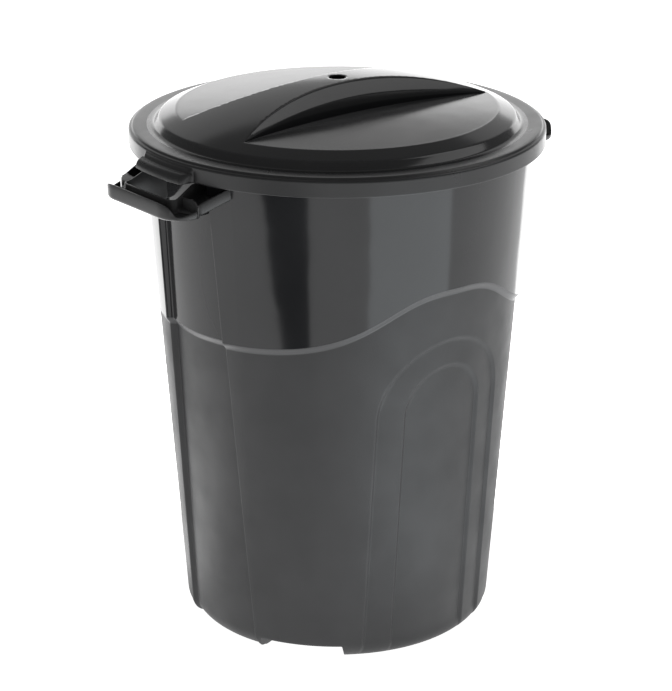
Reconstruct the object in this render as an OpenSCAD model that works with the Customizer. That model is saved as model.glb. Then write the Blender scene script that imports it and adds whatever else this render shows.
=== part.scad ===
// Round refuse can with two channel handles and a lift-off lid.
// +Z is up, the origin is the centre of the base on the floor, the handles lie along X
// and the arched panels face -Y and +Y.

/* [Tub] */
// Height of the tub, from the floor to its rim
tub_h = 700; // [600:1:840]
// Outside diameter of the tub's wall at the floor
base_d = 422; // [350:1:450]
// Outside diameter of the tub's wall just under the rim
mouth_d = 534; // [470:1:645]
// Thickness of the tub's wall
tub_wall = 3; // [2:0.1:4]
// Radius of the tub's bottom edge
base_fillet = 28; // [15:1:34]
// How far the rim flange stands out from the wall
rim_w = 8; // [5:0.5:12]
// Height of the rim flange
rim_h = 14; // [8:1:17]
// Chamfer on the rim's top edge
rim_chamfer = 3; // [2:0.5:4]

/* [Wave] */
// How far the smooth upper wall stands out from the textured lower wall
wave_step = 4.5; // [2:0.5:6]
// Height of the wave's troughs, over the handle panels
wave_low_z = 448; // [380:1:540]
// Rise of the wave from its troughs to its crests, over the arches
wave_rise = 84; // [40:1:110]

/* [Panels] */
// Half width of the outer arch
arch_outer_w = 101; // [80:1:122]
// Half width of the inner arch
arch_inner_w = 63; // [40:1:76]
// Height of the centre of the arches' round tops
arch_centre_z = 357; // [280:1:380]
// Depth of each of the two arch levels
arch_step = 4; // [2:0.5:6]
// Half width of the handle panel at the floor
panel_base_w = 72; // [60:1:86]
// Depth of the handle panel
panel_depth = 11; // [6:0.5:16]

/* [Base] */
// Height of the feet under the floor plate
foot_h = 22; // [15:1:30]
// Width of the foot ring, from its outer edge in
foot_w = 43; // [36:1:60]
// Angle from the handle line to the near end of each gap between the feet
gap_from = 21.6; // [18:0.2:26]
// Angle from the handle line to the far end of each gap between the feet
gap_to = 54.3; // [45:0.2:58]

/* [Handles] */
// Depth of the hand gap, from the tub's wall to a grip
hand_gap_d = 42; // [34:1:60]
// Width of a grip, from its outer face to the hand gap
grip_w = 24; // [18:1:32]
// Half width of a handle over its arms
handle_half_w = 95; // [80:1:120]
// Half width of the hand gap
hand_gap_w = 57; // [48:1:68]
// Height of a grip's channel
grip_h = 25; // [18:1:34]
// How far the top of a grip lies under the lid's skirt
grip_drop = 17; // [15:1:40]
// How much higher an arm is at the tub than at the grip
arm_rise = 12; // [4:1:14]
// Wall of a handle's channel
handle_wall = 3; // [2:0.1:4]
// Radius of a handle's outer corners
corner_r = 24; // [12:1:30]

/* [Lid] */
// Gap between the rim and the lid's skirt
skirt_gap = 2.5; // [1.5:0.1:5]
// Gap between the rim's top and the lid that rests on it
seat_gap = 0.3; // [0.3:0.1:1]
// Thickness of the lid
lid_wall = 2.8; // [2:0.1:4]
// How far the skirt reaches under the rim's top
skirt_drop = 22; // [18:1:30]
// Width of the flat ring inside the skirt
ring_w = 24; // [16:1:32]
// Height of the shoulder over the flat ring
shoulder_h = 9.5; // [5:0.5:16]
// Width of the shoulder's wall
shoulder_w = 9; // [6:1:16]
// Width of the sloped band inside the shoulder
band_w = 26; // [16:1:36]
// Rise of the sloped band
band_rise = 10; // [6:1:16]
// Rise of the dome inside the band
dome_rise = 8; // [4:1:16]

/* [Lid grip] */
// Height of the grip bar's middle over the dome
bar_h = 32; // [24:1:44]
// Distance from an end of the grip bar to the edge of the dome
bar_end_gap = 7; // [4:1:30]
// Half width of the grip bar at its middle
bar_mid_w = 31; // [24:1:40]
// Half width of the grip bar at its ends
bar_end_w = 60; // [50:1:76]
// How far the grip bar's ends sink into the sloped band
bar_end_sink = 4; // [3:0.5:8]
// Thickness of the grip bar's wall
bar_wall = 3.2; // [3:0.1:4]
// Depth of the finger pockets under the dome
pocket_depth = 27; // [18:1:30]
// Distance from the middle of the lid to a pocket's straight edge
pocket_edge = 56; // [46:1:64]
// Diameter of the hanging hole
hang_d = 23; // [14:1:30]
// Width of the flat ring round the hanging hole
hang_ring_w = 4; // [2:0.5:6]
// Thickness of the lid at that ring
hang_ring_h = 5; // [4:0.5:8]

/* [Lid hoods] */
// How far a hood stands out from the skirt
hood_reach = 32; // [24:1:44]
// Half width of a hood
hood_half_w = 60; // [48:1:76]
// Radius of a hood's rounded top
hood_r = 18; // [12:1:20]
// How far a hood's top lies under the skirt's top edge
hood_drop = 1.5; // [1:0.5:4]

/* [Hidden] */
$fn = 96;
shade = "dimgray";
// Overrun of a cut past the face it opens
over = 2;
// Larger than any radius of the can
far = 600;

// The tub's wall
wall_slope = (mouth_d / 2 - wave_step - base_d / 2) / tub_h;
rim_r = mouth_d / 2 + rim_w;
function wall_r(z) = base_d / 2 + wall_slope * z;

// The lid, from the rim outwards and upwards
skirt_in_r = rim_r + skirt_gap;
skirt_r = skirt_in_r + lid_wall;
seat_z = tub_h + seat_gap;
ring_z = seat_z + lid_wall;
skirt_bottom_z = tub_h - skirt_drop;
skirt_edge = 4.4;
ring_in_r = skirt_r - skirt_edge - ring_w;
shoulder_r = ring_in_r - shoulder_w;
shoulder_z = ring_z + shoulder_h;
band_r = shoulder_r - band_w;
band_z = shoulder_z + band_rise;
dome_z = band_z + dome_rise;
bar_z = dome_z + bar_h;
bar_half_l = band_r - bar_end_gap;
// The ring's flat top stands just clear of the bar's curved crown
hang_ring_z = bar_z + 0.3;

// The handles, out from the smooth upper wall and down from the lid's skirt
grip_top_z = skirt_bottom_z - grip_drop;
grip_bottom_z = grip_top_z - grip_h;
grip_in_x = wall_r(grip_top_z) + wave_step + hand_gap_d;
grip_reach = grip_in_x + grip_w;
// The handle's arms start inside the tub's wall and are trimmed by it
arm_start_x = wall_r(grip_top_z) - handle_half_w / 2;

// Points of an arc about [x, y], from angle a to angle b
function arc(x, y, r, a, b, steps = 8) =
    [for (i = [0:steps]) [x + r * cos(a + (b - a) * i / steps), y + r * sin(a + (b - a) * i / steps)]];

// Half outline of the tub, pulled in by inset, with its bottom at z0
function body_outline(inset, z0) =
    let (r0 = wall_r(z0) - inset,
         f = max(base_fillet - inset, base_fillet / 3),
         lean = atan(wall_slope),
         cx = r0 + wall_slope * f - f / cos(lean))
    concat([[0, z0]], arc(cx, z0 + f, f, -90, -lean),
           [[wall_r(tub_h + over) - inset, tub_h + over], [0, tub_h + over]]);

module revolved_body(inset, z0) {
    rotate_extrude() polygon(body_outline(inset, z0));
}

// Everything above the wave: its edge rises from the troughs at the handles to the arches
module above_wave() {
    r = mouth_d / 2;
    flat = 0.75;
    function wave_z(y) = wave_low_z + wave_rise * (flat * pow(y / r, 4) + (1 - flat) * pow(y / r, 2));
    steps = 16;
    rotate([90, 0, 90])
        linear_extrude(2 * far, center = true)
            polygon(concat([for (i = [-steps:steps]) let (y = r * i / steps) [y, wave_z(y)]],
                           [[far, wave_z(r)], [far, far * 2], [-far, far * 2], [-far, wave_z(r)]]));
}

// The tub's two-level wall with no panels in it
module stepped_body(inset, z0) {
    revolved_body(inset, z0);
    intersection() {
        revolved_body(inset - wave_step, z0);
        above_wave();
    }
}

// Upright prism through both arched panels
module arch_prism(half_w) {
    rotate([90, 0, 0])
        linear_extrude(2 * far, center = true) {
            translate([0, arch_centre_z]) circle(half_w);
            translate([-half_w, -over]) square([2 * half_w, arch_centre_z + over]);
        }
}

// Upright prism through both handle panels, which run up to the rim
module panel_prism(grow) {
    rotate([90, 0, 90])
        linear_extrude(2 * far, center = true)
            let (top = tub_h - rim_h + grow, low_w = panel_base_w + grow, top_w = hand_gap_w + grow)
                polygon([[-low_w, -over], [low_w, -over], [top_w, top], [-top_w, top]]);
}

// The tub's shape with its panels pressed in. The cavity is the same shape one wall smaller.
module pressed_body(inset, z0) {
    difference() {
        stepped_body(inset, z0);
        difference() {
            arch_prism(arch_outer_w + inset);
            revolved_body(inset + arch_step, z0 - over);
        }
        difference() {
            arch_prism(arch_inner_w + inset);
            revolved_body(inset + 2 * arch_step, z0 - over);
        }
        difference() {
            panel_prism(inset);
            stepped_body(inset + panel_depth, z0 - over);
        }
    }
}

// What the underside leaves out between and inside the four feet
module foot_gaps(grow) {
    middle = (gap_from + gap_to) / 2;
    half = (gap_to - gap_from) / 2;
    translate([0, 0, -over])
        linear_extrude(foot_h + over + grow) {
            circle(base_d / 2 - foot_w + grow);
            for (a = [middle, 180 - middle, 180 + middle, -middle])
                rotate(a)
                    translate([-grow / sin(half), 0])
                        polygon([[0, 0], [far, -far * tan(half)], [far, far * tan(half)]]);
        }
}

module rim_flange() {
    r = mouth_d / 2;
    lip = tub_wall;
    rotate_extrude()
        polygon([[r - lip, tub_h - rim_h], [r, tub_h - rim_h], [r, tub_h - lip],
                 [rim_r - lip, tub_h - lip], [rim_r - lip, tub_h - rim_h], [rim_r, tub_h - rim_h],
                 [rim_r, tub_h - rim_chamfer], [rim_r - rim_chamfer, tub_h], [r - lip, tub_h]]);
}

module tub() {
    color(shade)
        difference() {
            union() {
                difference() {
                    pressed_body(0, 0);
                    foot_gaps(0);
                    translate([0, 0, tub_h]) cylinder(r = far, h = far);
                }
                rim_flange();
            }
            difference() {
                pressed_body(tub_wall, tub_wall);
                foot_gaps(tub_wall);
            }
        }
}

// Rectangle from x0 to x1, half_w to each side, with its two far corners rounded
module arm_plan(x0, x1, half_w, r) {
    translate([x0, -half_w]) square([x1 - r - x0, 2 * half_w]);
    translate([x0, r - half_w]) square([x1 - x0, 2 * (half_w - r)]);
    for (side = [-1, 1])
        translate([x1 - r, side * (half_w - r)]) circle(r);
}

// The handle's loop, with walls pulled in by inset
module handle_plan(inset) {
    difference() {
        arm_plan(arm_start_x, grip_reach - inset, handle_half_w - inset, corner_r - inset);
        arm_plan(arm_start_x - over, grip_in_x + inset, hand_gap_w + inset, corner_r / 2);
    }
}

// Side view of the handle: its arms climb towards the tub. lift raises only its bottom.
module handle_side(lift, top) {
    chin = grip_h / 4;
    rotate([90, 0, 0])
        linear_extrude(2 * far, center = true)
            polygon([[arm_start_x, grip_bottom_z + arm_rise + lift], [grip_in_x, grip_bottom_z + lift],
                     [grip_reach - chin, grip_bottom_z + lift], [grip_reach, grip_bottom_z + chin + lift],
                     [grip_reach, grip_top_z + top], [grip_in_x - chin, grip_top_z + top],
                     [arm_start_x, grip_top_z + arm_rise + top]]);
}

// Upward-open channel on the +X side, with a rib across each arm and a dip in each corner
module handle() {
    rib_x = grip_in_x - handle_wall;
    dip_h = grip_h * 0.6;
    difference() {
        intersection() {
            linear_extrude(tub_h) handle_plan(0);
            handle_side(0, 0);
        }
        difference() {
            intersection() {
                linear_extrude(tub_h) handle_plan(handle_wall);
                handle_side(handle_wall, over);
            }
            for (side = [-1, 1])
                translate([rib_x, side * handle_half_w / 2, grip_top_z / 2])
                    cube([handle_wall, handle_half_w, grip_top_z - over], center = true);
        }
        for (side = [-1, 1])
            translate([rib_x + over, side * handle_half_w - corner_r / 2, grip_top_z - dip_h])
                cube([corner_r - handle_wall, corner_r, grip_h]);
        stepped_body(0, 0);
    }
}

module left_handle() {
    color(shade) mirror([1, 0, 0]) handle();
}

module right_handle() {
    color(shade) handle();
}

// Half outline of the lid, top or underside, without its grip
function lid_outline(inset, bottom) = concat(
    [[0, bottom], [skirt_r - inset, bottom], [skirt_r - inset, ring_z - inset - skirt_edge],
     [skirt_r - skirt_edge - inset / 2, ring_z - inset], [ring_in_r - inset / 2, ring_z - inset],
     [shoulder_r - inset / 2, shoulder_z - inset]],
    [for (i = [0:8]) let (t = 1 - i / 8) [band_r * t, dome_z - dome_rise * t * t - inset]]);

// Radius of an arc that passes sagitta above a chord of the given half length
function arc_r(half_l, sagitta) = (half_l * half_l + sagitta * sagitta) / (2 * sagitta);

// Radius of the arcs that narrow the bar to its waist
waist_r = arc_r(bar_half_l, bar_end_w - bar_mid_w);

// Hourglass plan of the bar, pulled in by inset
module bar_plan(inset) {
    difference() {
        translate([-bar_half_l + inset, -bar_end_w + inset])
            square([2 * (bar_half_l - inset), 2 * (bar_end_w - inset)]);
        for (side = [-1, 1])
            translate([0, side * (bar_mid_w - inset + waist_r)]) circle(waist_r, $fn = 360);
    }
}

module bar(inset) {
    crown = bar_z - band_z + bar_end_sink;
    crown_r = arc_r(bar_half_l, crown);
    intersection() {
        translate([0, 0, ring_z]) linear_extrude(crown + bar_h) bar_plan(inset);
        translate([0, 0, bar_z - crown_r])
            rotate([90, 0, 0]) cylinder(r = crown_r - inset, h = 2 * far, center = true, $fn = 360);
    }
}

// Finger pockets: the space between the bar's waist and a straight edge on each side
module pockets(grow) {
    translate([0, 0, dome_z - pocket_depth - grow])
        linear_extrude(far)
            for (side = [-1, 1])
                intersection() {
                    translate([0, side * (bar_mid_w + waist_r)]) circle(waist_r + grow, $fn = 360);
                    translate([-bar_half_l, side * pocket_edge / 2 - pocket_edge / 2 - grow])
                        square([2 * bar_half_l, pocket_edge + 2 * grow]);
                }
}

// Rounded hood on the +X side of the skirt
module hood(inset, bottom_z) {
    reach = skirt_r + hood_reach;
    top_z = ring_z - skirt_edge - hood_drop;
    intersection() {
        rotate([90, 0, 0])
            linear_extrude(2 * far, center = true) {
                square([reach - hood_r, top_z - inset]);
                square([reach - inset, top_z - hood_r]);
                translate([reach - hood_r, top_z - hood_r]) circle(hood_r - inset);
            }
        translate([0, 0, bottom_z])
            linear_extrude(hood_r * 2)
                arm_plan(skirt_in_r - hood_r, reach - inset, hood_half_w - inset, hood_r - inset);
    }
}

module lid_shell() {
    difference() {
        union() {
            difference() {
                union() {
                    rotate_extrude() polygon(lid_outline(0, skirt_bottom_z));
                    bar(0);
                }
                pockets(0);
            }
            hood(0, skirt_bottom_z);
            mirror([1, 0, 0]) hood(0, skirt_bottom_z);
        }
        difference() {
            union() {
                rotate_extrude() polygon(lid_outline(lid_wall, skirt_bottom_z - over));
                bar(bar_wall);
            }
            pockets(lid_wall);
        }
        for (turn = [0, 180])
            rotate(turn)
                difference() {
                    hood(lid_wall, skirt_bottom_z - over);
                    cylinder(r = skirt_r, h = 2 * far);
                }
    }
}

module lid() {
    color(shade)
        difference() {
            union() {
                lid_shell();
                translate([0, 0, hang_ring_z - hang_ring_h])
                    cylinder(d = hang_d + 2 * hang_ring_w, h = hang_ring_h);
            }
            translate([0, 0, hang_ring_z - hang_ring_h - over])
                cylinder(d = hang_d, h = hang_ring_h + 2 * over);
        }
}

tub();
left_handle();
right_handle();
lid();
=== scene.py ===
import math

import bmesh
import bpy
import numpy as np
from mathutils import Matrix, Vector
from mathutils.geometry import delaunay_2d_cdt


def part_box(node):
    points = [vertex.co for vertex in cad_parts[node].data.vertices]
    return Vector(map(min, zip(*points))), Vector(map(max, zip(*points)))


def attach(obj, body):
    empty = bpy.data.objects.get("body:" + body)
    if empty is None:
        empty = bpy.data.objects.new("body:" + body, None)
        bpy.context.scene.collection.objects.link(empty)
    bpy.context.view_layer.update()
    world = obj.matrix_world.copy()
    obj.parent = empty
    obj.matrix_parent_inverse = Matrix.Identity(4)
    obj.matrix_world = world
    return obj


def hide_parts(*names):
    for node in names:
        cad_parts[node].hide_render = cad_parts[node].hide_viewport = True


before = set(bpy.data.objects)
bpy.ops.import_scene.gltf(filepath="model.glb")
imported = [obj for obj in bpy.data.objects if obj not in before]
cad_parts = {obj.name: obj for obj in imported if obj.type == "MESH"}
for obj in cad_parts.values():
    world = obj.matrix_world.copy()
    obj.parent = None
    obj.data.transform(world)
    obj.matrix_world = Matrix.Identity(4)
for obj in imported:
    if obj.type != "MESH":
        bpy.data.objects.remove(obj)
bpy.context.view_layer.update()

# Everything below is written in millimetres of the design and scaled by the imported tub's height.
TUB_H = 700.0
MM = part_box("tub")[1].z / TUB_H
RIM_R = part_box("tub")[1].x / MM
SKIRT_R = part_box("lid")[1].y / MM
SKIRT_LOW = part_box("lid")[0].z / MM
LID_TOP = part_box("lid")[1].z / MM
GRIP_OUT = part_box("right_handle")[1].x / MM
GRIP_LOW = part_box("right_handle")[0].z / MM


def smooth(t):
    """0 up to 0 and 1 from 1 on, with a soft start and end between them."""
    t = np.clip(t, 0.0, 1.0)
    return t * t * (3.0 - 2.0 * t)


def inside(distance, width):
    """1 well inside an outline and 0 well outside it, over a soft edge of the given width."""
    return smooth(0.5 - distance / width)


def spread(*runs):
    """Joins runs of (first, last, count) into one list of rising or falling values."""
    parts = [np.linspace(a, b, n, endpoint=False) for a, b, n in runs]
    return np.concatenate(parts + [[runs[-1][1]]])


def arc(cx, cz, r, a, b, n):
    """n points of an arc around (cx, cz), from a to b degrees."""
    t = np.radians(np.linspace(a, b, n))
    return np.stack([cx + r * np.cos(t), cz + r * np.sin(t)], 1)


def ring_points(r, z, turn):
    """Points at radius r and height z, at the angles turn in radians."""
    return np.stack([r * np.cos(turn), r * np.sin(turn), z + 0 * turn], -1)


WELD = 0.004


class Skin:
    """Gathers vertices and faces of one piece, each face with the number of its material."""

    def __init__(self):
        self.points = []
        self.faces = []
        self.kinds = []
        self.count = 0

    def add_points(self, points):
        start = self.count
        self.points.append(np.asarray(points, float).reshape(-1, 3))
        self.count += len(self.points[-1])
        return start

    def add_faces(self, faces, kind=0):
        faces = [tuple(int(i) for i in f) for f in faces]
        self.faces += faces
        self.kinds += [kind] * len(faces)

    def grid(self, points, wrap=False, flip=False, row_kinds=None):
        """Quads over an array of rows x columns x 3; row_kinds gives each strip's material."""
        rows, cols = points.shape[:2]
        index = self.add_points(points) + np.arange(rows * cols).reshape(rows, cols)
        if wrap:
            index = np.concatenate([index, index[:, :1]], 1)
        a, b = index[:-1, :-1], index[:-1, 1:]
        c, d = index[1:, 1:], index[1:, :-1]
        quads = np.stack([d, c, b, a] if flip else [a, b, c, d], -1)
        for row in range(rows - 1):
            self.add_faces(quads[row], row_kinds[row] if row_kinds else 0)
        return index

    def build(self, name, materials, sharp):
        """Makes the object: seams are joined, and edges over sharp degrees stay sharp."""
        mesh = bpy.data.meshes.new(name)
        mesh.from_pydata((np.concatenate(self.points) * MM).tolist(), [], self.faces)
        mesh.polygons.foreach_set("material_index", self.kinds)
        for material in materials:
            mesh.materials.append(material)
        piece = bpy.data.objects.new(name, mesh)
        bpy.context.scene.collection.objects.link(piece)
        work = bmesh.new()
        work.from_mesh(mesh)
        bmesh.ops.remove_doubles(work, verts=work.verts, dist=WELD * MM)
        bmesh.ops.dissolve_degenerate(work, edges=work.edges, dist=1e-7)
        bmesh.ops.recalc_face_normals(work, faces=work.faces)
        work.to_mesh(mesh)
        work.free()
        for polygon in mesh.polygons:
            polygon.use_smooth = True
        mesh.set_sharp_from_angle(angle=math.radians(sharp))
        return piece


# ---------------------------------------------------------------- tub
BASE_R = 211.0
# The upper zone of the wall stands this far out over the wave
WAVE_STEP = 4.5
MOUTH_R = RIM_R - 8.0
SLOPE = (MOUTH_R - WAVE_STEP - BASE_R) / TUB_H
LEAN = math.degrees(math.atan(SLOPE))
WALL = 3.0
FILLET = 28.0
FOOT_H = 22.0
FOOT_R = BASE_R - 43.0
FOOT_EDGE = 5.0
# Under the can, arches and panels fade in over this run outwards from UNDER_FROM
UNDER_FROM = FOOT_R - 25.0
UNDER_RUN = 30.0
# The gaps between the feet, in degrees from the arch's centre line
GAP_FAR = 90.0 - 54.3
GAP_NEAR = 90.0 - 21.6
GAP_FAR_BLEND = 5.5
GAP_NEAR_BLEND = 7.0
ARCH_OUTER = 101.0
ARCH_INNER = 63.0
ARCH_Z = 357.0
ARCH_STEP = 4.0
ARCH_BLEND = 5.0
# The panel under each handle: half width and depth at the floor and at the top
PANEL_LOW = 72.0
PANEL_TOP = 57.0
PANEL_LOW_DEPTH = 5.5
PANEL_DEPTH = 10.5
PANEL_END = 686.0
PANEL_BLEND = 4.2
PANEL_APART = 6.4
# The wave: its low level, its rise at the arch, its spread in degrees and half its slanted step
WAVE_LOW = 447.0
WAVE_RISE = 81.0
WAVE_SPREAD = 29.0
WAVE_POWER = 3.1
WAVE_HALF = 4.5
# Rows of the wall: the first above the fillet, the wave's own band and the last below the rim
FIRST_ROW = 26.0
WAVE_BAND = 14.0
LAST_ROW = PANEL_END - 6.0
END_ROWS = PANEL_END + np.array([-4.0, -2.0, 0.0, 5.0, 11.0])
# Columns keep their angles inside this radius
FEATURE_R = 205.0


def wall_radius(z):
    """Outer radius of the lower zone, carried on past the wave."""
    return BASE_R + SLOPE * z


def wave_height(angle):
    """Height of the wave at an angle in degrees from the arch's centre line."""
    return WAVE_LOW + WAVE_RISE / (1 + (np.abs(angle) / WAVE_SPREAD) ** WAVE_POWER)


def panel_half(z):
    """Half width of a handle panel."""
    return PANEL_LOW + (PANEL_TOP - PANEL_LOW) * z / PANEL_END


def make_columns():
    """Column rules over a quarter turn: (anchor, offset in mm, next anchor, offset, share)."""
    tight = [-4.6, -3.2, -2.2, -1.4, -0.5, 0.5, 1.4, 2.2, 3.2, 4.6]
    near = [-3.2, -2.2, -1.2, -0.3, 0.6, 1.6, 2.8]
    edge = [-2.6, -1.8, -1.0, -0.3, 0.5, 1.3, 2.2, 3.4]
    far = list(np.linspace(-3.6, 3.6, 11))
    clusters = [[0.0], tight, tight, far, near, edge, [0.0]]
    fills = [18, 10, 5, 28, 0, 20]
    rules = []
    for i, offsets in enumerate(clusters):
        rules += [(i, o, i, o, 0.0) for o in offsets]
        if i < len(fills):
            last, first = offsets[-1], clusters[i + 1][0]
            n = fills[i] + 1
            rules += [(i, last, i + 1, first, k / n) for k in range(1, n)]
    return [np.array(part) for part in zip(*rules)]


COLUMNS = make_columns()


def column_angles(r, z, grow):
    """Angle in degrees of each column, from the arch's centre line towards the handle."""
    a, off_a, b, off_b, share = COLUMNS
    r = np.maximum(r, FEATURE_R)
    gap_near = np.full_like(r, math.radians(GAP_NEAR))
    panel = math.pi / 2 - np.arcsin((panel_half(z) + grow) / r)
    anchors = np.stack(
        [
            np.zeros_like(r),
            np.arcsin((ARCH_INNER + grow) / r),
            np.arcsin((ARCH_OUTER + grow) / r),
            np.full_like(r, math.radians(GAP_FAR)),
            gap_near,
            np.maximum(panel, gap_near + PANEL_APART / r),
            np.full_like(r, math.pi / 2),
        ]
    )
    cols = np.arange(len(a))
    from_a = anchors[a.astype(int), :, cols].T + off_a / r
    from_b = anchors[b.astype(int), :, cols].T + off_b / r
    return np.degrees(from_a * (1 - share) + from_b * share)


def panel_depth(x, y, z, grow):
    """How far the arches and the handle panels are pressed in at a place on the wall."""

    def arch(half):
        round_top = np.hypot(x, np.maximum(z - ARCH_Z, 0)) - half - grow
        return ARCH_STEP * inside(round_top, ARCH_BLEND) * smooth(z / FILLET)

    depth = PANEL_LOW_DEPTH + (PANEL_DEPTH - PANEL_LOW_DEPTH) * z / PANEL_END
    side = depth * inside(np.abs(y) - panel_half(z) - grow, PANEL_BLEND)
    side = side * (1 - smooth((z - PANEL_END + 4) / 4))
    return arch(ARCH_OUTER) + arch(ARCH_INNER) + np.where(x > np.abs(y), side, 0)


def quarter_to_ring(points):
    """Mirrors a quarter from -Y to +X into the whole ring."""
    second = points[:, -2::-1] * np.array([1, -1, 1])
    third = points[:, 1:] * np.array([-1, -1, 1])
    fourth = points[:, -2:0:-1] * np.array([-1, 1, 1])
    return np.concatenate([points, second, third, fourth], 1)


def tub_side(inset, z0, floor_r, wall_z, wave_rows, top_rows, fillet_count):
    """Rings of one side of the tub's wall, from the middle of its base up."""
    f = FILLET - inset
    centre = wall_radius(z0) - inset + SLOPE * f - f / math.cos(math.atan(SLOPE))
    fillet = arc(centre, z0 + f, f, -90, -LEAN, fillet_count)
    flat_r = np.concatenate([floor_r, fillet[:-1, 0]])
    flat_z = np.concatenate([np.full(len(floor_r), z0), fillet[:-1, 1]])
    low = fillet[-1, 1]
    wall_rows = (wall_z - FIRST_ROW) / (wave_height(0.0) - WAVE_BAND - FIRST_ROW)
    wave_start = len(flat_r) + len(wall_rows)
    # The wave's height sets the rows, and the rows set the columns' angles, so they settle in turns.
    crest = wave_height(np.linspace(0, 90, len(COLUMNS[0])))
    for _ in range(3):
        under = low + (crest - WAVE_BAND - low) * wall_rows[:, None]
        wave = crest + wave_rows[:, None]
        over = crest + WAVE_BAND + (LAST_ROW - crest - WAVE_BAND) * top_rows[:, None]
        end = END_ROWS[:, None] + 0 * crest
        z = np.concatenate([flat_z[:, None] + 0 * crest, under, wave, over, end])
        r = wall_radius(z) - inset
        r[: len(flat_r)] = flat_r[:, None]
        angle = column_angles(r, z, inset)
        crest = wave_height(angle[wave_start])
    turn = np.radians(angle)
    out = WAVE_STEP * smooth((z - wave_height(angle) + WAVE_HALF) / (2 * WAVE_HALF))
    r_full = r + out
    nominal = np.maximum(r_full, 1.0)
    depth = panel_depth(nominal * np.sin(turn), nominal * np.cos(turn), z, inset)
    r_final = r_full - depth * smooth((r_full - UNDER_FROM) / UNDER_RUN)
    from_far = (math.radians(GAP_FAR) - turn) * nominal - inset
    from_near = (turn - math.radians(GAP_NEAR)) * nominal - inset
    gap = inside(from_far, GAP_FAR_BLEND) * inside(from_near, GAP_NEAR_BLEND)
    foot = smooth((r_final - FOOT_R - inset + FOOT_EDGE / 2) / FOOT_EDGE) * (1 - gap)
    level = z0 + FOOT_H * (1 - foot)
    z_final = np.where(z < z0 + FOOT_H + 4, np.maximum(z, level), z)
    points = np.stack([r_final * np.sin(turn), -r_final * np.cos(turn), z_final], -1)
    return quarter_to_ring(points), wave_start


def make_tub(lower, upper, painted_highlight):
    """Outer side, rim and inner side as one skin, with close rows at the wave and the arches' tops."""
    floor_r = np.array([0.5, 60, 120, 150, 161, 164, 165.5, 167, 168.5, 170, 172, 176, 181])
    wave_rows = [-10, -7.5, -6, -5, -4.2, -3.5, -2.8, -2, -1, 0, 1, 2, 2.8, 3.5, 4.2, 5, 6.5, 9]
    arch_low, arch_high = 340.0, 470.0
    wall_end = wave_height(0.0) - WAVE_BAND

    def wall_z(*counts):
        stops = (FIRST_ROW, arch_low, arch_high, wall_end)
        return spread(*zip(stops[:-1], stops[1:], counts))

    outer, wave_start = tub_side(
        0.0, 0.0, floor_r, wall_z(36, 56, 8), np.array(wave_rows), spread((0.0, 1.0, 12)), 16
    )
    inner, _ = tub_side(
        WALL,
        WALL,
        floor_r[floor_r < 176],
        wall_z(20, 26, 4),
        np.array([-8, -5, -3.4, -2, 0, 2, 3.4, 5, 8]),
        spread((0.0, 1.0, 6)),
        8,
    )
    rim = [(266.9, 697.0), (271.3, 697.0), (272.0, 696.3), (272.0, 687.0), (272.4, 686.2)]
    rim += [(273.5, 686.0), (274.6, 686.2), (275.0, 687.0), (275.0, 696.6), (274.6, 698.5)]
    rim += [(273.6, 699.5), (272.2, 700.0), (266.2, 700.0), (264.8, 699.6), (264.0, 698.6)]
    turn = np.arctan2(outer[-1][:, 1], outer[-1][:, 0])
    rings = np.array([ring_points(r, z, turn) for r, z in rim])
    everything = np.concatenate([outer, rings, inner[::-1]])
    # Grained below the wave and glossy above it; its slanted step gets a paler black, a painted
    # highlight along the step
    ridge_start = wave_start + wave_rows.index(-5)
    ridge_end = wave_start + wave_rows.index(5)
    kinds = [0] * ridge_start + [2] * (ridge_end - ridge_start)
    kinds += [1] * (len(everything) - 1 - len(kinds))
    skin = Skin()
    index = skin.grid(everything, wrap=True, row_kinds=kinds)
    skin.add_faces([index[0, :-1][::-1]], 0)
    skin.add_faces([index[-1, :-1]], 1)
    return skin.build("can_body", [lower, upper, painted_highlight], sharp=50)


# ---------------------------------------------------------------- handles
SHELL = 3.0
GRIP_TOP = 661.0
GRIP_FOOT = GRIP_LOW + 4.0
GRIP_IN = GRIP_OUT - 20.0
BEND_R = 37.0
BEND_X = GRIP_OUT - BEND_R
BEND_Y = 51.0
# The arms flare outwards by this many degrees; their inner walls lean in by most of it
FLARE = 12.0
INNER_R = 9.0
INNER_Y = 53.0
# How far the arm's edges climb towards the tub, for each mm of the way
ARM_SLOPE = 0.4
INNER_SLOPE = 0.5
FOOT_CLIMB = 0.36
ARM_TOP = 656.0
OUTER_TOP_END = 674.0
INNER_TOP_END = 675.0
# The web under an inner wall comes down by this much over its run
WEB_DROP = 11.0
WEB_RUN = 42.0
# How far an arm's walls go into the tub's wall
OUTER_ROOT = 2.2
INNER_ROOT = 12.0
SLIT_FROM = 109.0
SLIT_TO = 112.0
# Height of the outer wall's top against the distance from the grip's middle
RIM_U = [0, 50, 60, 67, 72, 76, 79, 82, 88, 98, SLIT_FROM]
RIM_Z = [661, 661, 660.4, 658.8, 655.8, 651.5, 647.6, 645.8, 645.8, 648.2, 651.2]
# The rib behind the slit: its top's height against the distance from the can's middle plane
RIB_X = BEND_X - 3.5
RIB_T = 2.0
RIB_LOW = GRIP_FOOT + 1.5
RIB_Y = [INNER_Y - 1.0, 68, 71, 74, 77, 80, 83, 85.6, 87.2]
RIB_Z = [661.5, 662.5, 663.4, 663.6, 662.8, 661.0, 658.6, 656.6, 655.6]


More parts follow.
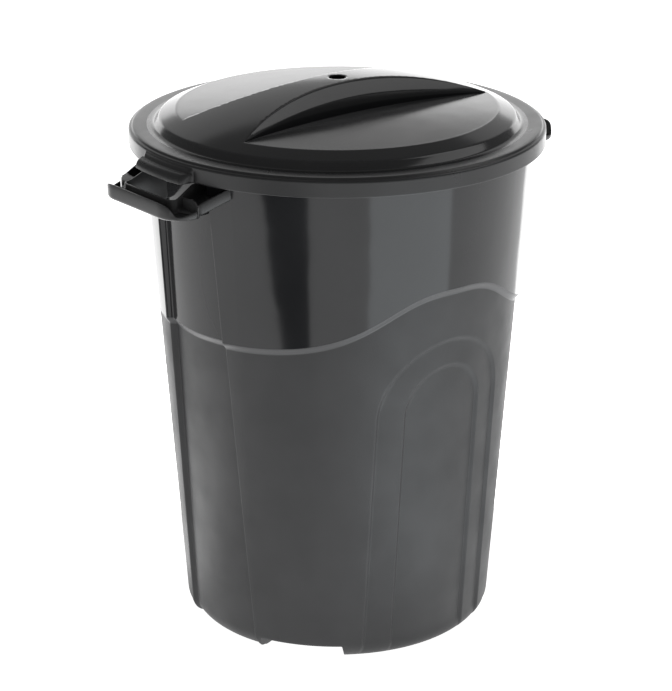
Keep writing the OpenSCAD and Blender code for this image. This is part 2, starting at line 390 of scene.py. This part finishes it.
def handle_path():
    """Outer and inner points of the channel, from the grip's middle to an arm's root."""
    wall = wall_radius(GRIP_TOP) + WAVE_STEP
    lean = math.radians(FLARE)
    outer, inner = [], []
    for t in spread((0, 0.7, 6), (0.7, 1.0, 5)):
        outer.append((GRIP_OUT, BEND_Y * t))
        inner.append((GRIP_IN, (INNER_Y - INNER_R) * t))
    turns = np.linspace(0, 90 + FLARE, 27)[1:]
    for a in turns:
        c, s = math.cos(math.radians(a)), math.sin(math.radians(a))
        outer.append((BEND_X + BEND_R * c, BEND_Y + BEND_R * s))
        b = math.radians(a * 80 / (90 + FLARE))
        inner_x = GRIP_IN - INNER_R + INNER_R * math.cos(b)
        inner.append((inner_x, INNER_Y - INNER_R + INNER_R * math.sin(b)))
    start_o, start_i = np.array(outer[-1]), np.array(inner[-1])
    run_o = np.array([-math.cos(lean), math.sin(lean)])
    run_i = np.array([-math.cos(lean * 0.8), -math.sin(lean * 0.8)])

    def reach(start, run, radius):
        """Length of a run from start to the circle of this radius."""
        steps = np.linspace(0, 90, 901)
        r = np.hypot(start[0] + run[0] * steps, start[1] + run[1] * steps)
        return steps[np.argmax(r < radius)]

    long_o = reach(start_o, run_o, wall - OUTER_ROOT)
    long_i = reach(start_i, run_i, wall - INNER_ROOT)
    for t in spread((0.06, 0.2, 5), (0.2, 1.0, 10)):
        outer.append(tuple(start_o + run_o * long_o * t))
        inner.append(tuple(start_i + run_i * long_i * t))
    return np.array(outer), np.array(inner)


def handle_section(o, i, u, slit):
    """One cross-section of the channel, from the outer face's foot round to it again."""
    across = (o - i) / np.linalg.norm(o - i)
    climb = max(0.0, BEND_X + 2 - o[0])
    inner_run = max(0.0, GRIP_IN - INNER_R - i[0])
    z0 = GRIP_FOOT + FOOT_CLIMB * climb
    web = GRIP_FOOT - WEB_DROP * min(inner_run / WEB_RUN, 1.0)
    if u > SLIT_TO - 0.05:
        top_out = min(ARM_TOP + ARM_SLOPE * climb, OUTER_TOP_END)
    else:
        top_out = float(np.interp(u, RIM_U, RIM_Z))
    if slit:
        top_out = z0 + 1.2
    top_in = min(GRIP_TOP + INNER_SLOPE * inner_run, INNER_TOP_END)
    floor = z0 + SHELL
    lip = min(0.9, (top_out - z0) * 0.3)
    foot = min(5.0, (top_out - z0) * 0.6)
    ring = []
    for a in (15, 40, 65, 90):
        c, s = math.cos(math.radians(a)), math.sin(math.radians(a))
        ring.append((*(o - across * (4.0 * (1 - s))), z0 + foot * (1 - c)))
    outer_side = [
        (0.0, top_out - lip),
        (0.35, top_out - lip * 0.3),
        (1.5, top_out),
        (2.65, top_out - lip * 0.3),
        (SHELL, top_out - lip),
        (SHELL + 0.3, min(floor + 2.5, top_out - lip * 1.05)),
        (SHELL + 1.2, min(floor + 0.5, top_out - lip * 1.1)),
        (SHELL + 3.0, min(floor, top_out - lip * 1.15)),
    ]
    inner_side = [
        (SHELL + 3.0, min(floor, top_out - lip * 1.15) if slit else floor),
        (SHELL + 1.2, floor + 0.5),
        (SHELL + 0.3, floor + 2.5),
        (SHELL, top_in - 0.9),
        (2.65, top_in - 0.25),
        (1.5, top_in),
        (0.35, top_in - 0.25),
        (0.0, top_in - 0.9),
        (0.0, web + 2.5),
        (0.6, web + 0.8),
        (1.6, web),
        (SHELL, web + 0.6),
        (SHELL + 0.4, z0 - 0.05),
    ]
    ring += [(*(o - across * d), z) for d, z in outer_side]
    ring += [(*(i + across * d), z) for d, z in inner_side]
    return ring


def box_solid(skin, corners):
    """A closed solid from 8 corners: four below, then the four above them."""
    start = skin.add_points(corners)
    sides = [(0, 3, 2, 1), (4, 5, 6, 7), (0, 1, 5, 4), (1, 2, 6, 5), (2, 3, 7, 6), (3, 0, 4, 7)]
    skin.add_faces([[start + k for k in side] for side in sides])


def rib(skin, side, y_sign):
    """A thin rib across an arm behind the slit; its top sweeps down to the outer wall."""
    for ya, yb, za, zb in zip(RIB_Y[:-1], RIB_Y[1:], RIB_Z[:-1], RIB_Z[1:]):
        corners = []
        for z_a, z_b in ((RIB_LOW, RIB_LOW), (za, zb)):
            for x, y, z in ((0, ya, z_a), (RIB_T, ya, z_a), (RIB_T, yb, z_b), (0, yb, z_b)):
                corners.append((side * (RIB_X + x), y_sign * y, z))
        box_solid(skin, corners)


def make_handle(name, side, material):
    """A channel bent round its hand gap, its outer wall cut by a slit on each arm, and its ribs."""
    skin = Skin()
    outer, inner = handle_path()
    steps = np.linalg.norm(np.diff(outer, axis=0), axis=1)
    length = np.concatenate([[0], np.cumsum(steps)])
    places = [(u, False) for u in length if abs(u - (SLIT_FROM + SLIT_TO) / 2) > 2.2]
    places += [(SLIT_FROM - 0.6, False), (SLIT_FROM, False), (SLIT_FROM + 0.1, True)]
    places += [(SLIT_TO - 0.1, True), (SLIT_TO, False), (SLIT_TO + 0.6, False)]
    rings = []
    for u, slit in sorted(places, reverse=True):
        o = np.array([np.interp(u, length, outer[:, k]) for k in (0, 1)])
        i = np.array([np.interp(u, length, inner[:, k]) for k in (0, 1)])
        rings.append(handle_section(o, i, u, slit))
    half = np.array(rings)
    other_half = half[-2::-1] * np.array([1, -1, 1])
    whole = np.concatenate([half, other_half]) * np.array([side, 1, 1])
    index = skin.grid(whole, wrap=True)
    skin.add_faces([index[0, :-1], index[-1, :-1][::-1]])
    for y_sign in (1, -1):
        rib(skin, side, y_sign)
    return skin.build(name, [material], sharp=40)


# ---------------------------------------------------------------- lid
CAP_TOP = LID_TOP - 0.3
CREASE_R = 217.0
CREASE_Z = 722.6
CAP_R = (CREASE_R**2 + (CAP_TOP - CREASE_Z) ** 2) / (2 * (CAP_TOP - CREASE_Z))
DOME_RISE = 6.0
HOLE_R = 11.5
BORE_R = HOLE_R + 1.2
HOLE_TURN = np.linspace(0, 2 * math.pi, 49)[:-1]
# The rings of the lid end and its face begin at this radius
CUT_R = 228.0
# Half width of the grip bar's top against the distance from its middle
BAR_X = [0, 30, 60, 90, 110, 130, 145, 160, 180, 190, 201, 210]
BAR_W = [23.8, 24.2, 26.0, 30.5, 34.5, 39.8, 44.2, 49.3, 58.0, 62.2, 66.4, 69.6]
TIP_X = 204.0
TIP_PULL = 186.0
# The finger pockets, at the places where they have this full width
POCKET_W = 32.2
POCKET_DEPTH = 25.0
FACET_OUT = 14.0
FACET_DROP = 18.5
LID_T = 2.8
# The underside of the face: how far down it is and how much wider its pockets are
LID_UNDER = 3.0
UNDER_GROW = 2.4
SEAT_Z = 700.3


def cap_z(r):
    """Height of the spherical cap that runs over the bar and the sloped band."""
    return CAP_TOP - CAP_R + np.sqrt(CAP_R**2 - r**2)


def dome_z(r):
    """Height of the flatter panels beside the bar."""
    return CREASE_Z + DOME_RISE * (1 - (r / CREASE_R) ** 2)


def bar_edge(x):
    """Half width of the grip bar's top."""
    return np.interp(np.abs(x), BAR_X, BAR_W)


def panel_edge(x):
    """Distance from the middle line to the pocket's outer edge."""
    return 56.0 + 12.5 * (np.abs(x) / TIP_X) ** 2


TIP_W = float(panel_edge(TIP_X))


def bar_outline(x):
    """The bar's edge, smoothed and drawn to the tips of the pockets."""
    xs = np.asarray(x, float)
    kernel = np.linspace(-9, 9, 7)
    value = np.mean([bar_edge(np.abs(xs + k)) for k in kernel], 0)
    pull = smooth((np.abs(xs) - TIP_PULL) / (TIP_X - TIP_PULL))
    return value * (1 - pull) + (TIP_W + (value - bar_edge(TIP_X)) * 0.4) * pull


def lid_top(x, y):
    """Height of the lid's upper face: the spherical cap, or the panels sunk beside the bar."""
    r = np.hypot(x, y)
    w = np.abs(y)
    cap = cap_z(r)
    sunk = dome_z(np.minimum(r, CREASE_R))
    limit = np.where(np.abs(x) < TIP_X, (bar_outline(x) + panel_edge(x)) / 2, TIP_W)
    on_panel = inside(limit - w, 0.5)
    round_crease = smooth((CREASE_R + 2.5 - r) / 5.0)
    return cap * (1 - on_panel * round_crease) + sunk * on_panel * round_crease


def outlines(x, grow):
    """The pocket's two outlines at stations x, widened by grow for the lid's underside."""
    e, s = bar_outline(x), panel_edge(x)
    share = np.clip((s - e) / 16.0, 0, 1)
    return e - grow * share, s + grow * share


def pocket_rows(x, grow):
    """Rows of a pocket from the bar's edge to the panel's, at stations x."""
    e, s = outlines(x, grow)
    room = np.maximum(s - e, 0)
    k = np.clip(room / POCKET_W, 0, 1)
    top = cap_z(np.hypot(x, e))
    low = dome_z(np.hypot(x, s))
    facet_out = FACET_OUT * k
    facet_drop = np.minimum(FACET_DROP * k**0.8, np.maximum(top - low, 0) * 0.9)
    floor = low - POCKET_DEPTH * smooth(room / 14)
    rows = [
        (e, top),
        (e + 0.5 * k, top - 0.3 * k),
        (e + 0.8 * k, top - 0.7 * k),
        (e + 0.9 * k, top - 2.0 * k),
        (e + 1.5 * k, top - 2.4 * k),
    ]
    for t in (0.12, 0.4, 0.7, 0.94):
        bulge = 0.9 * math.sin(math.pi * t)
        out = 1.5 * k + (facet_out - 1.5 * k) * t + bulge * k
        rows.append((e + out, top - 2.4 * k - (facet_drop - 2.4 * k) * t))
    wall_low = np.minimum(floor + 1.2 * k, top - facet_drop - 1.5 * k)
    rows += [
        (e + facet_out, top - facet_drop - 0.2 * k),
        (e + facet_out + 0.2 * k, top - facet_drop - 1.4 * k),
        (e + facet_out + 0.6 * k, wall_low),
        (e + facet_out + 2.0 * k, floor),
        (s - 2.2 * k, floor),
        (s - 0.9 * k, floor + 1.4 * k),
        (s - 0.5 * k, low - 1.0 * k),
        (s - 0.35 * k, low - 0.3 * k),
        (s, low),
    ]
    return rows


def pocket_stations():
    """Places along a pocket, from tip to tip."""
    middle, end, tip = np.linspace(0, 150, 43), np.linspace(153, 190, 14), np.linspace(192, TIP_X, 9)
    half = np.concatenate([middle, end, tip])
    return np.concatenate([-half[:0:-1], half])


def surface_height(x, y, grow):
    """lid_top, made exact on the pockets' outlines."""
    z = lid_top(x, y)
    e, s = outlines(x, grow)
    w = np.abs(y)
    r = np.hypot(x, y)
    in_tips = np.abs(x) <= TIP_X + 1e-6
    on_edge = in_tips & (np.abs(w - e) < 0.02)
    on_side = in_tips & (np.abs(w - s) < 0.02)
    z = np.where(on_edge, cap_z(r), z)
    z = np.where(on_side & ~on_edge, dome_z(np.minimum(r, CREASE_R)), z)
    return z


def fill_points():
    """Even rings of points over the lid's face, closer together round the crease."""
    around_crease = [212, 213.8, 215, 216, 217, 218, 219, 220.4, 222.5, 225]
    fill = []
    for r in list(np.arange(16.0, 210.0, 3.6)) + around_crease:
        n = max(24, int(2 * math.pi * r / (3.6 if r < 211 else 3.0)))
        a = (np.arange(n) + 0.5 * (len(fill) % 2)) * 2 * math.pi / n
        fill.append(np.stack([r * np.cos(a), r * np.sin(a)], 1))
    return np.concatenate(fill)


def lid_middle(skin, turn, grow, shift):
    """The lid's face inside its cut circle, with the pockets' outlines left open."""
    x = pocket_stations()
    e, s = outlines(x, grow)
    loops = []
    for sign in (-1, 1):
        there = np.stack([x, sign * e], 1)
        back = np.stack([x, sign * s], 1)[-2:0:-1]
        loop = np.concatenate([there, back])
        loop[0, 1] = loop[len(x) - 1, 1] = sign * TIP_W
        loops.append(loop)
    loops.append(ring_points(CUT_R, 0.0, turn)[:, :2])
    loops.append(ring_points(BORE_R, 0.0, HOLE_TURN)[:, :2])
    fill = fill_points()
    edge_w, side_w = outlines(fill[:, 0], grow)
    w = np.abs(fill[:, 1])
    clear = (w < edge_w - 1.6) | (w > side_w + 1.6) | (np.abs(fill[:, 0]) > TIP_X + 1.2)
    verts, edges = [], []
    for loop in loops:
        start = len(verts)
        verts += [Vector(p) for p in loop]
        edges += [(start + k, start + (k + 1) % len(loop)) for k in range(len(loop))]
    verts += [Vector(p) for p in fill[clear]]
    flat, _, faces, *_ = delaunay_2d_cdt(verts, edges, [], 0, 1e-4)
    flat = np.array([(v.x, v.y) for v in flat])
    faces = np.array([f for f in faces if len(f) == 3])
    mid = flat[faces].mean(1)
    mid_w = np.abs(mid[:, 1])
    mid_e, mid_s = outlines(mid[:, 0], grow)
    in_pocket = (mid_w > mid_e) & (mid_w < mid_s) & (np.abs(mid[:, 0]) < TIP_X)
    r_mid = np.hypot(mid[:, 0], mid[:, 1])
    keep = ~in_pocket & (r_mid > BORE_R - 0.1) & (r_mid < CUT_R)
    z = surface_height(flat[:, 0], flat[:, 1], grow) - shift
    start = skin.add_points(np.column_stack([flat, z]))
    skin.add_faces(faces[keep] + start)


HOOD_REACH = SKIRT_R + 18.0
HOOD_HALF = 53.5
HOOD_CORNER = 15.0
SKIRT_TOP = 697.4
# A hood's section: a soft roll over a valley, as distance from the skirt and height
HOOD_ROWS = [
    (0.0, 697.4),
    (0.3, 696.2),
    (1.2, 695.4),
    (2.6, 694.9),
    (3.8, 693.8),
    (4.6, 692.2),
    (5.4, 690.9),
    (6.6, 690.2),
    (8.2, 690.2),
    (10.2, 690.1),
    (12.2, 689.6),
    (14.0, 688.5),
    (15.6, 686.8),
    (16.8, 684.6),
    (17.5, 682.2),
    (17.9, 680.0),
    (18.0, 678.3),
]


def hood_columns():
    """Angles of the lid's rings in degrees, close together at the hoods' ends."""
    edge = math.degrees(math.asin(HOOD_HALF / SKIRT_R))
    quarter = spread((0, edge - 5.2, 12), (edge - 5.2, edge + 0.9, 34), (edge + 0.9, 90, 64))
    left = 180 - quarter[::-1]
    half = np.concatenate([quarter, left[1:]])
    return np.concatenate([half, 180 + half[1:-1]])


def hood_reach(angle):
    """How far a hood stands out from the skirt, as a share of its whole reach."""
    a = np.radians(angle)
    c, s = np.abs(np.cos(a)), np.abs(np.sin(a))
    rr = np.linspace(0, 1, 121)[:, None]
    r = SKIRT_R + (HOOD_REACH - SKIRT_R) * rr
    x, y = r * c, r * s
    dx = np.maximum(x - (HOOD_REACH - HOOD_CORNER), 0)
    dy = np.maximum(y - (HOOD_HALF - HOOD_CORNER), 0)
    ok = (np.hypot(dx, dy) <= HOOD_CORNER) & (c > s)
    return np.max(np.where(ok, rr, 0), 0)


def lid_rings(skin):
    """Shoulder, flat ring, skirt with its hoods, and their underside, as one skin of rings."""
    angle = hood_columns()
    reach = hood_reach(angle)
    kernel = np.exp(-0.5 * (np.arange(-2, 3) / 0.9) ** 2)
    padded = np.concatenate([reach[-2:], reach, reach[:2]])
    reach = np.convolve(padded, kernel / kernel.sum(), "valid")
    turn = np.radians(angle)
    shoulder = [(r, cap_z(r)) for r in (CUT_R, 233.0, 236.5, 238.4)]
    shoulder += [(239.3, 713.2), (240.0, 712.5), (240.6, 711.5), (242.2, 709.3), (243.8, 707.2)]
    shoulder += [(245.4, 705.1), (246.2, 704.2), (247.4, 703.6), (249.2, 703.2), (251.5, 703.1)]
    ring = [(256.0, 703.1), (262.0, 703.1), (268.0, 703.1), (272.8, 703.1), (274.2, 702.9)]
    ring += [(275.0, 702.5), (275.5, 701.9), (275.8, 701.2), (276.2, 700.6), (276.8, 700.3)]
    ring += [(278.0, 700.2), (279.0, 699.9), (279.7, 699.2), (280.1, 698.3)]
    # Each row: radius and height on the plain skirt, then reach and height on a hood
    rows = [(r, z, 0.0, z) for r, z in shoulder + ring]
    low = SKIRT_LOW
    for k, (out, z) in enumerate(HOOD_ROWS):
        plain = SKIRT_TOP + (low + 0.6 - SKIRT_TOP) * k / (len(HOOD_ROWS) - 1)
        rows.append((SKIRT_R, plain, out, z))
    rows += [(SKIRT_R - 0.4, low, 18.0, low), (SKIRT_R - 2.4, low, 18.0, low)]
    rows += [(SKIRT_R - LID_T, low + 0.5, 18.0, low + 0.5)]
    under = [(17.4, 681.4), (16.2, 683.8), (14.2, 685.6), (11.5, 686.6)]
    under += [(8.0, 687.2), (4.0, 688.6), (0.0, 691.0)]
    for k, (out, z) in enumerate(under):
        rows.append((SKIRT_R - LID_T, low + 1.0 + 1.6 * (k + 1), out, z))
    inside_rows = [(277.5, 695.6), (277.0, 697.4), (275.6, 699.2), (273.0, SEAT_Z)]
    inside_rows += [(256.0, SEAT_Z), (248.0, 700.4), (244.8, 701.2), (242.6, 703.2)]
    inside_rows += [(240.2, 706.6), (238.4, 709.3), (236.8, 711.0)]
    inside_rows += [(r, cap_z(r) - LID_UNDER) for r in (233.0, CUT_R)]
    rows += [(r, z, 0.0, z) for r, z in inside_rows]
    points = []
    for r, z, out, z_hood in rows:
        lift = smooth(reach / 0.35) if out or z != z_hood else 0 * reach
        points.append(ring_points(r + out * reach, z + (z_hood - z) * lift, turn))
    kinds = [0] * len(shoulder) + [1] * (len(rows) - len(shoulder))
    skin.grid(np.array(points), wrap=True, row_kinds=kinds)
    return turn


def lid_face(skin, turn, grow, shift):
    """The upper face, or with grow and shift the underside, inside the cut circle."""
    lid_middle(skin, turn, grow, shift)
    x = pocket_stations()
    tip_z = float(surface_height(np.array([TIP_X]), np.array([TIP_W]), grow)[0])
    for sign in (-1, 1):
        points = np.array([np.stack([x, sign * w, z], -1) for w, z in pocket_rows(x, grow)])
        for end in (0, -1):
            points[:, end, 1:] = (sign * TIP_W, tip_z)
        skin.grid(points - np.array([0, 0, shift]), flip=sign > 0)


def make_lid(gloss, satin):
    """Rings outside the cut circle, both sides of the face inside it, and the hanging hole."""
    skin = Skin()
    turn = lid_rings(skin)
    lid_face(skin, turn, 0.0, 0.0)
    lid_face(skin, turn, UNDER_GROW, LID_UNDER)
    top = cap_z(BORE_R)
    bore = [(BORE_R, 0), (HOLE_R + 0.5, 0.15), (HOLE_R + 0.1, 0.5), (HOLE_R, 1.1)]
    bore += [(HOLE_R, 2.2), (HOLE_R + 0.4, LID_UNDER - 0.2), (BORE_R, LID_UNDER)]
    rings = [ring_points(r, top - drop, HOLE_TURN) for r, drop in bore]
    skin.grid(np.array(rings), wrap=True)
    return skin.build("can_lid", [gloss, satin], sharp=38)


# ---------------------------------------------------------------- materials
def new_material(name):
    """A new material with its tree and its shader."""
    material = bpy.data.materials.new(name)
    material.use_nodes = True
    tree = material.node_tree
    return material, tree, tree.nodes["Principled BSDF"]


def link_noise(tree, scale, detail, roughness=0.5):
    """A noise over the piece's own coordinates."""
    coords = tree.nodes.new("ShaderNodeTexCoord")
    noise = tree.nodes.new("ShaderNodeTexNoise")
    noise.inputs["Scale"].default_value = scale
    noise.inputs["Detail"].default_value = detail
    noise.inputs["Roughness"].default_value = roughness
    tree.links.new(coords.outputs["Object"], noise.inputs["Vector"])
    return noise


def ranged(tree, source, low, high, from_low=0.3, from_high=0.7):
    """The source, mapped from its own range to low and high."""
    node = tree.nodes.new("ShaderNodeMapRange")
    node.inputs["From Min"].default_value = from_low
    node.inputs["From Max"].default_value = from_high
    node.inputs["To Min"].default_value = low
    node.inputs["To Max"].default_value = high
    tree.links.new(source, node.inputs["Value"])
    return node.outputs["Result"]


def plastic(name, base, rough, grain_scale, grain_depth, wave_depth=0.0):
    """Black moulded plastic: patchy colour, uneven gloss, fine grain and slightly worn edges."""
    material, tree, shader = new_material(name)
    patches = link_noise(tree, 9.0, 6.0)
    worn = tree.nodes.new("ShaderNodeNewGeometry")
    wear = ranged(tree, worn.outputs["Pointiness"], 0.0, 1.0, 0.53, 0.62)
    mix = tree.nodes.new("ShaderNodeMix")
    mix.data_type = "RGBA"
    mix.inputs["A"].default_value = [c * 0.86 for c in base] + [1]
    mix.inputs["B"].default_value = [c * 1.14 for c in base] + [1]
    tree.links.new(ranged(tree, patches.outputs["Fac"], 0, 1), mix.inputs["Factor"])
    edge = tree.nodes.new("ShaderNodeMix")
    edge.data_type = "RGBA"
    edge.inputs["B"].default_value = [c * 2.2 + 0.01 for c in base] + [1]
    tree.links.new(mix.outputs["Result"], edge.inputs["A"])
    tree.links.new(wear, edge.inputs["Factor"])
    tree.links.new(edge.outputs["Result"], shader.inputs["Base Color"])
    smears = link_noise(tree, 22.0, 5.0)
    gloss = ranged(tree, smears.outputs["Fac"], rough * 0.9, rough * 1.1)
    tree.links.new(gloss, shader.inputs["Roughness"])
    grain = link_noise(tree, grain_scale, 3.0, 0.6)
    bump = tree.nodes.new("ShaderNodeBump")
    bump.inputs["Distance"].default_value = grain_depth
    bump.inputs["Strength"].default_value = 1.0
    tree.links.new(grain.outputs["Fac"], bump.inputs["Height"])
    tree.links.new(bump.outputs["Normal"], shader.inputs["Normal"])
    if wave_depth:
        ripple = link_noise(tree, 14.0, 1.0)
        second = tree.nodes.new("ShaderNodeBump")
        second.inputs["Distance"].default_value = wave_depth
        tree.links.new(ripple.outputs["Fac"], second.inputs["Height"])
        tree.links.new(bump.outputs["Normal"], second.inputs["Normal"])
        tree.links.new(second.outputs["Normal"], shader.inputs["Normal"])
    shader.inputs["IOR"].default_value = 1.5
    return material


gloss_black = plastic("black_gloss", (0.021, 0.0215, 0.023), 0.12, 1400.0, 0.000004, 0.0006)
lid_black = plastic("black_lid", (0.021, 0.0212, 0.0224), 0.15, 1400.0, 0.000004, 0.0002)
ring_black = plastic("black_ring", (0.021, 0.0212, 0.0222), 0.3, 1100.0, 0.00003)
handle_black = plastic("black_handle", (0.03, 0.0302, 0.031), 0.34, 1100.0, 0.00003)
# A paler black for the wave's slanted step: painted highlight standing in for the light band along the
# step
ridge_painted_highlight = plastic("black_ridge_painted_highlight", (0.075, 0.0755, 0.078), 0.4, 1100.0, 0.00003)
grain_black = plastic("black_grain", (0.034, 0.0345, 0.036), 0.5, 900.0, 0.00012)

# ---------------------------------------------------------------- pieces
tub = make_tub(grain_black, gloss_black, ridge_painted_highlight)
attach(tub, "tub")
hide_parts("tub")
for label, side in (("left_handle", -1), ("right_handle", 1)):
    grip = make_handle("can_" + label, side, handle_black)
    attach(grip, "tub")
    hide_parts(label)
lid = make_lid(lid_black, ring_black)
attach(lid, "lid")
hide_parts("lid")


# ---------------------------------------------------------------- stage, light and camera
def emission(name, strength, colour):
    """A material that only glows."""
    material = bpy.data.materials.new(name)
    material.use_nodes = True
    tree = material.node_tree
    tree.nodes.clear()
    out = tree.nodes.new("ShaderNodeOutputMaterial")
    glow = tree.nodes.new("ShaderNodeEmission")
    glow.inputs["Strength"].default_value = strength
    glow.inputs["Color"].default_value = (*colour, 1)
    tree.links.new(glow.outputs[0], out.inputs[0])
    return material


def sheet(name, corners, material):
    """One flat face of the stage."""
    mesh = bpy.data.meshes.new(name)
    mesh.from_pydata(corners, [], [range(len(corners))])
    mesh.materials.append(material)
    piece = bpy.data.objects.new(name, mesh)
    bpy.context.scene.collection.objects.link(piece)
    return piece


def area_light(name, place, target, size, watts):
    """A rectangular lamp at a place, turned towards its target."""
    light = bpy.data.lights.new(name, "AREA")
    light.shape = "RECTANGLE"
    light.size, light.size_y = size
    light.energy = watts
    lamp = bpy.data.objects.new(name, light)
    lamp.location = place
    lamp.rotation_euler = (Vector(target) - Vector(place)).to_track_quat("-Z", "Y").to_euler()
    bpy.context.scene.collection.objects.link(lamp)
    return lamp


# Directions on the floor, as the camera sees them
AWAY = (0.616, 0.788)
RIGHT = (0.788, -0.616)
CARD_Z = 0.003
SOFTBOX_DISTANCE = 4.4


def from_can(turn, distance, z):
    """A place at an angle to the right of the line from the can to the camera."""
    c, s = math.cos(math.radians(turn)), math.sin(math.radians(turn))
    return tuple(distance * (s * RIGHT[k] - c * AWAY[k]) for k in (0, 1)) + (z,)


def floor_card(name, corners, strength, colour=(1, 1, 1)):
    """A card lying out of the picture, there for the reflections only."""
    places = [from_can(turn, distance, CARD_Z) for turn, distance in corners]
    card = sheet(name, places, emission(name, strength, colour))
    card.visible_camera = False
    return card


paper, _, paper_shader = new_material("paper")
paper_shader.inputs["Base Color"].default_value = (0.8, 0.8, 0.8, 1)
paper_shader.inputs["Roughness"].default_value = 0.9
paper_shader.inputs["Emission Color"].default_value = (1, 1, 1, 1)
paper_shader.inputs["Emission Strength"].default_value = 1.0
sheet("floor", [(-9, -9, 0), (9, -9, 0), (9, 9, 0), (-9, 9, 0)], paper)
floor_card("black_card", [(-24, 0.9), (-46.7, 2.4), (-15.5, 2.4), (-15.5, 0.9)], 0.0)
floor_card("cool_card", [(18, 0.4), (18, 2.2), (66, 2.2), (66, 0.4)], 2.4, (0.94, 0.98, 1.0))
floor_card("left_card", [(-130, 0.4), (-130, 3.0), (-165, 3.0), (-165, 0.4)], 3.0)
floor_card("near_card", [(-84, 0.3), (-84, 0.85), (-126, 0.85), (-126, 0.3)], 2.6)
floor_card("right_card", [(140, 0.4), (168, 0.4), (168, 3.0), (140, 3.0)], 3.0)

scene = bpy.context.scene
world = bpy.data.worlds.new("studio")
scene.world = world
world.use_nodes = True
world.node_tree.nodes["Background"].inputs["Color"].default_value = (1, 1, 1, 1)
world.node_tree.nodes["Background"].inputs["Strength"].default_value = 0.2


def softbox(name, place, target, size, radiance):
    """An area light given by how bright its face looks."""
    lamp = area_light(name, place, target, size, radiance * math.pi * size[0] * size[1])
    lamp.visible_camera = False


def back_softbox(name, low, high, width, radiance):
    """A softbox standing far behind the can, from one height to another."""
    z = (low + high) / 2
    place = (SOFTBOX_DISTANCE * AWAY[0], SOFTBOX_DISTANCE * AWAY[1], z)
    softbox(name, place, (0, 0, z), (width, high - low), radiance)


back_softbox("back_bright", 0.0, 2.02, 7.0, 1.9)
back_softbox("back_dim", 2.02, 4.6, 7.0, 0.4)
softbox("side", (1.8, -1.4, 2.8), (0, 0, 0.7), (2.0, 2.0), 1.25)

camera = bpy.data.cameras.new("camera")
camera.sensor_fit = "AUTO"
camera.sensor_width = 36
camera.lens = 141.2
camera.shift_x = -0.0019
camera.shift_y = 0.0224
view = bpy.data.objects.new("camera", camera)
view.location = (-2.172, -2.780, 1.666)
view.rotation_euler = (math.radians(69.65), 0, math.radians(-38))
camera.clip_end = 60
scene.collection.objects.link(view)
scene.camera = view
scene.view_settings.view_transform = "Standard"
